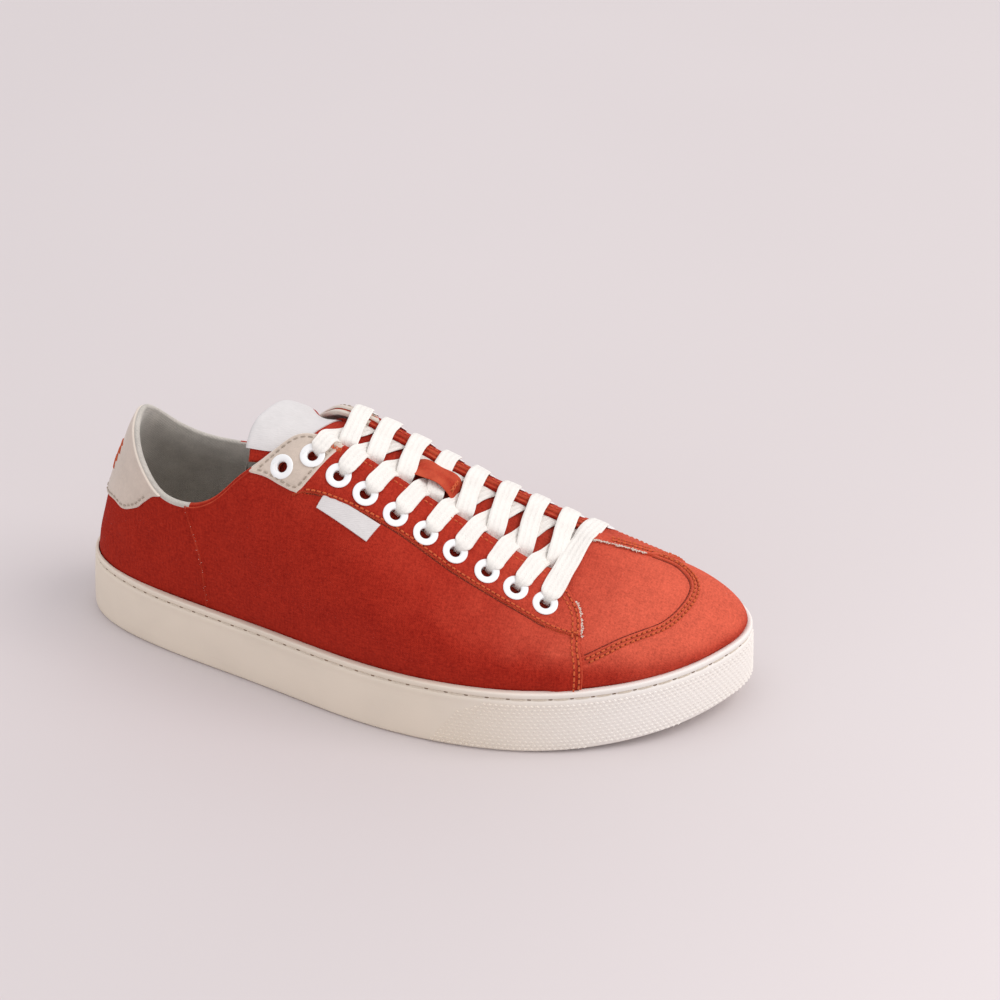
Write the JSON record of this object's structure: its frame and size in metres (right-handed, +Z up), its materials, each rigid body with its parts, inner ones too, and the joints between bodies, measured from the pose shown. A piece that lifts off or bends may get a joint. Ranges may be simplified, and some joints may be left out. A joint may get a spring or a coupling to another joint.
{
  "type": "barefoot sneaker",
  "caption": "Low canvas lace-up barefoot sneaker for the right foot, with a flat rubber cup sole, suede eyelet and heel patches and flat cotton laces.",
  "frame": {"origin": "on the floor under the middle of the shoe's bounding box", "axes": "+X from heel to toe, -Y to the outer side of the foot, +Z up"},
  "size_m": [0.293, 0.1028, 0.1121],
  "materials": {
    "canvas": "woven cotton canvas, brick red",
    "lining": "soft textile lining, grey beige",
    "suede": "napped, sand beige",
    "sole_rubber": "moulded, satin cream",
    "enamel": "gloss white enamel",
    "cotton": "flat woven cotton lace, off-white",
    "label_satin": "close woven satin label, white"
  },
  "bodies": {
    "root": {"eyelet_inner_1": "enamel", "eyelet_inner_10": "enamel", "eyelet_inner_2": "enamel", "eyelet_inner_3": "enamel", "eyelet_inner_4": "enamel", "eyelet_inner_5": "enamel", "eyelet_inner_6": "enamel", "eyelet_inner_7": "enamel", "eyelet_inner_8": "enamel", "eyelet_inner_9": "enamel", "eyelet_outer_1": "enamel", "eyelet_outer_10": "enamel", "eyelet_outer_2": "enamel", "eyelet_outer_3": "enamel", "eyelet_outer_4": "enamel", "eyelet_outer_5": "enamel", "eyelet_outer_6": "enamel", "eyelet_outer_7": "enamel", "eyelet_outer_8": "enamel", "eyelet_outer_9": "enamel", "eyelet_patch_inner": "suede", "eyelet_patch_outer": "suede", "eyestay_inner": "canvas", "eyestay_outer": "canvas", "heel_patch": "suede", "insole": "lining", "lace": "cotton", "lace_keeper": "canvas", "lace_top": "cotton", "side_label": "label_satin", "sole": "sole_rubber", "tongue": "canvas", "tongue_label": "label_satin", "upper": "canvas"}
  },
  "joints": []
}
